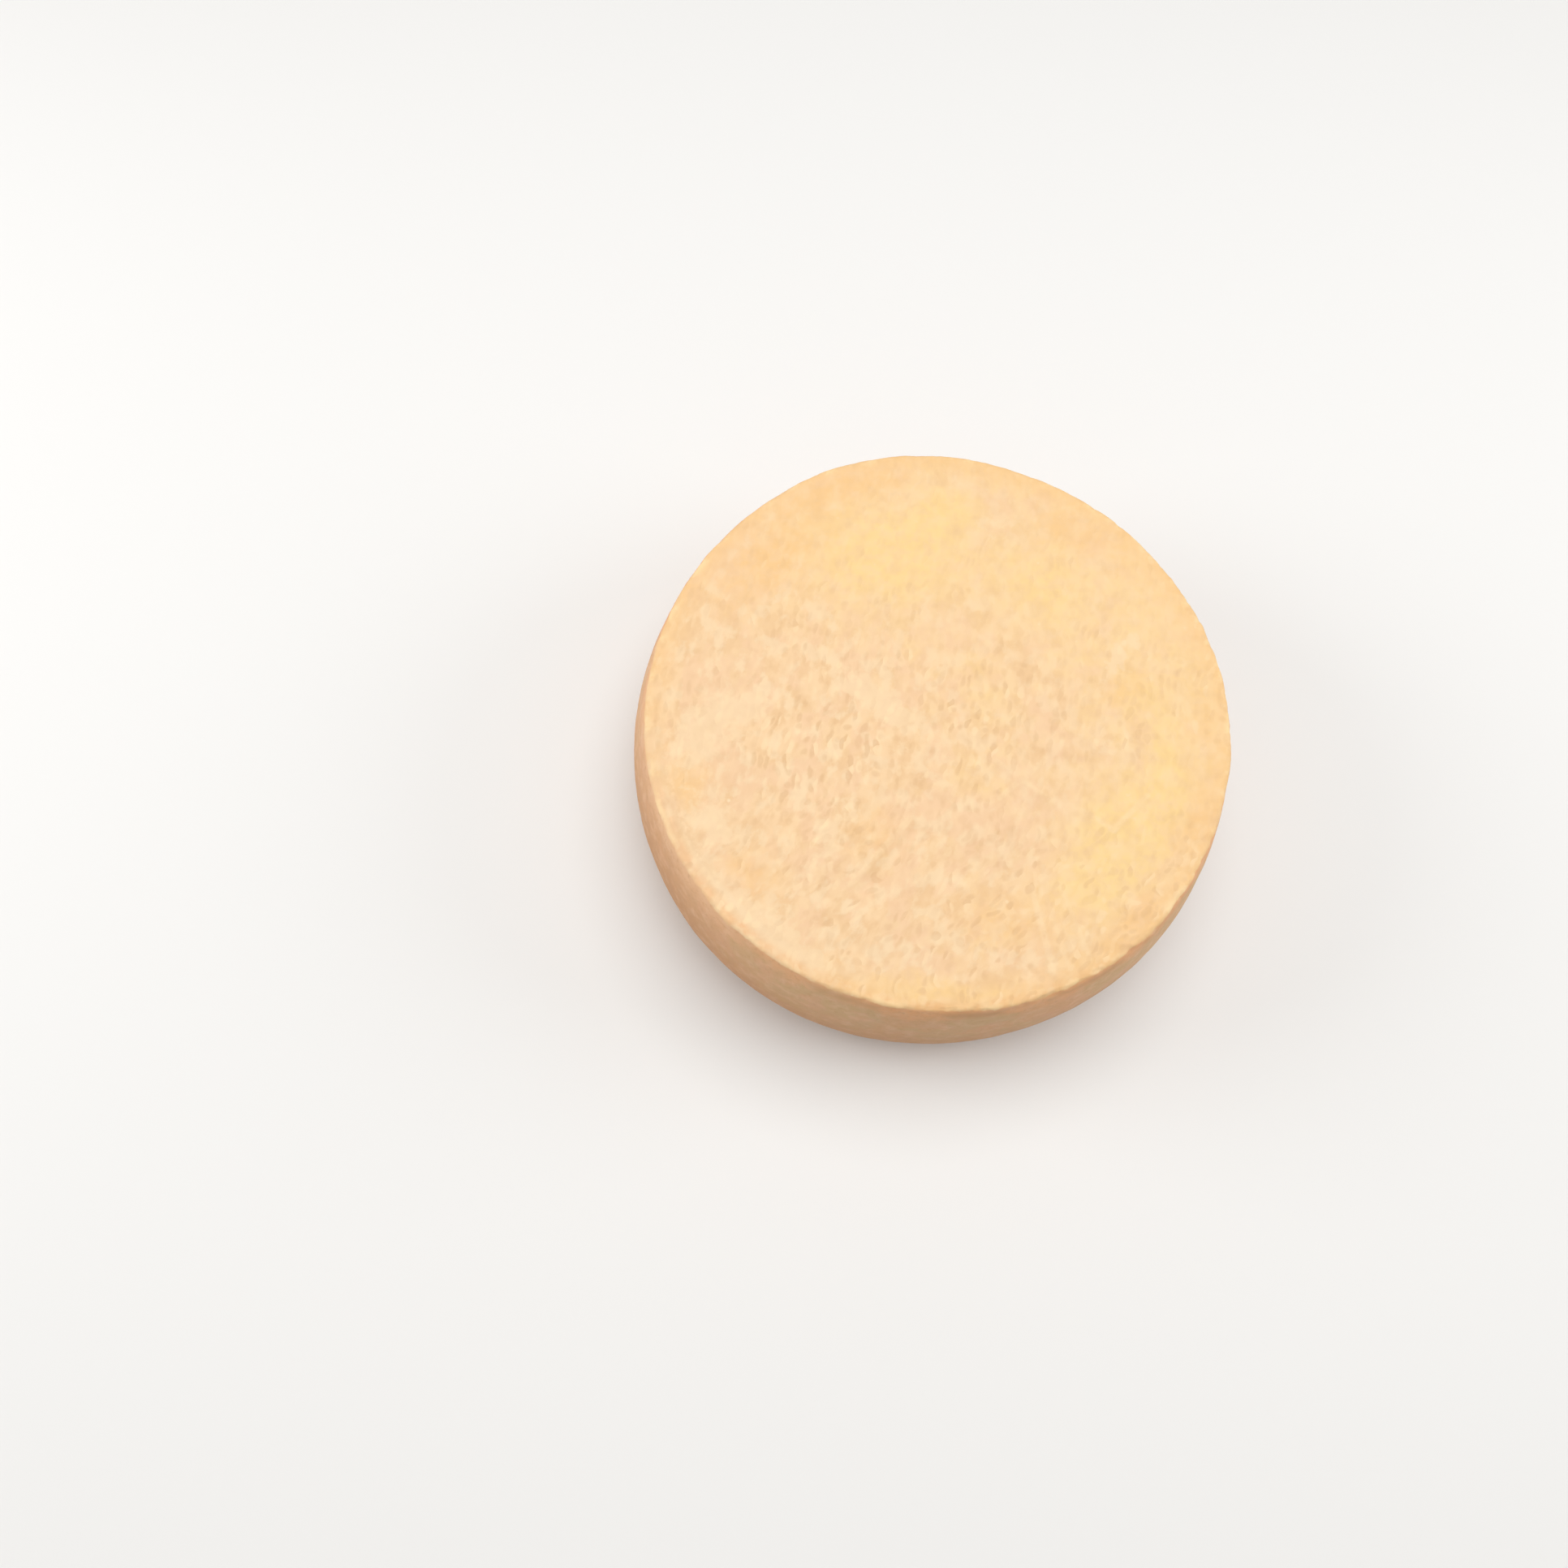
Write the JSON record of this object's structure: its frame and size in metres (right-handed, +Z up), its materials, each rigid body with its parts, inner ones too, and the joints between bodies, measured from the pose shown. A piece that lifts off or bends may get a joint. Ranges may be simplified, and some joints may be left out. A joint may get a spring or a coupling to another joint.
{
  "type": "cheese wheel",
  "caption": "Whole round wheel of semi-hard cheese with a natural rind, a flat cloth-marked top, a sharp upper rim, a bulging side and a flat underside to stand on.",
  "frame": {"origin": "centre of the flat underside that the wheel stands on", "axes": "+Z up through the wheel; +Y away from the viewer and +X to the viewer's right"},
  "size_m": [0.1776, 0.1784, 0.0608],
  "materials": {
    "rind": "matt natural rind: warm peach-cream with a pale bloom, cloth-marked top, greyer and darker side"
  },
  "bodies": {
    "root": {"cheese_wheel": "rind"}
  },
  "joints": []
}
